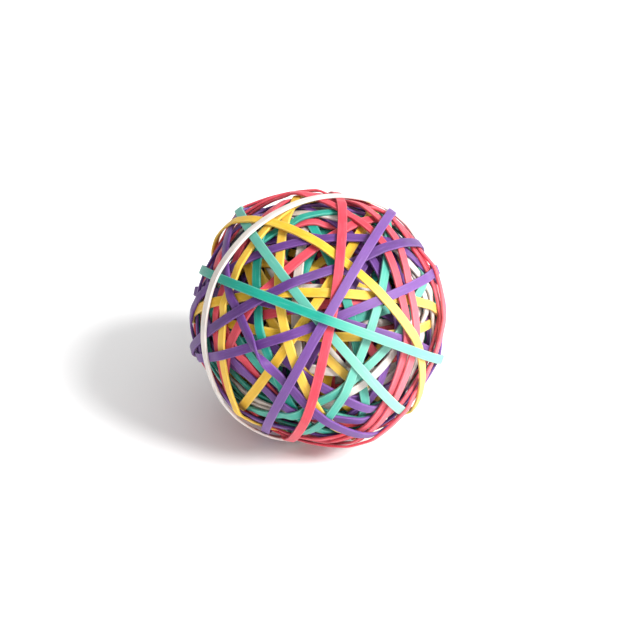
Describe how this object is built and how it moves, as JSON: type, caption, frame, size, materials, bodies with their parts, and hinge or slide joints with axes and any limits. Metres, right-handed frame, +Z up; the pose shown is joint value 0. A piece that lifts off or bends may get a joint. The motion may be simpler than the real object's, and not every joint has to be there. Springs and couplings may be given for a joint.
{
  "type": "rubber band ball",
  "caption": "Ball of flat coloured rubber bands stretched over one another round a tightly wound middle, at rest on a flat surface.",
  "frame": {"origin": "on the surface the ball rests on, below the middle of its outside", "axes": "+Z up, away from the surface; X and Y across it, with the side shown in the source view towards -Y. The ball has no front of its own."},
  "size_m": [0.0756, 0.0752, 0.0723],
  "materials": {
    "teal": "matte",
    "purple": "matte",
    "yellow": "matte",
    "pink": "matte",
    "white": "matte"
  },
  "bodies": {
    "root": {"wound_core": "purple", "band_01_white": "white", "band_02_yellow": "yellow", "band_03_teal": "teal", "band_04_white": "white", "band_05_purple": "purple", "band_06_yellow": "yellow", "band_07_pink": "pink", "band_08_teal": "teal", "band_09_white": "white", "band_10_purple": "purple", "band_11_purple": "purple", "band_12_teal": "teal", "band_13_white": "white", "band_14_teal": "teal", "band_15_purple": "purple", "band_16_white": "white", "band_17_teal": "teal", "band_18_purple": "purple", "band_19_pink": "pink", "band_20_purple": "purple", "band_21_yellow": "yellow", "band_22_white": "white", "band_23_pink": "pink", "band_24_teal": "teal", "band_25_teal": "teal", "band_26_purple": "purple", "band_27_teal": "teal", "band_28_purple": "purple", "band_29_teal": "teal", "band_30_purple": "purple", "band_31_yellow": "yellow", "band_32_pink": "pink", "band_33_pink": "pink", "band_34_purple": "purple", "band_35_yellow": "yellow", "band_36_yellow": "yellow", "band_37_teal": "teal", "band_38_pink": "pink", "band_39_purple": "purple", "band_40_yellow": "yellow", "band_41_pink": "pink", "band_42_pink": "pink", "band_43_pink": "pink", "band_44_purple": "purple", "band_45_purple": "purple", "band_46_teal": "teal", "band_47_pink": "pink", "band_48_purple": "purple", "band_49_yellow": "yellow", "band_50_pink": "pink", "band_51_purple": "purple", "band_52_teal": "teal", "band_53_white": "white"}
  },
  "joints": []
}
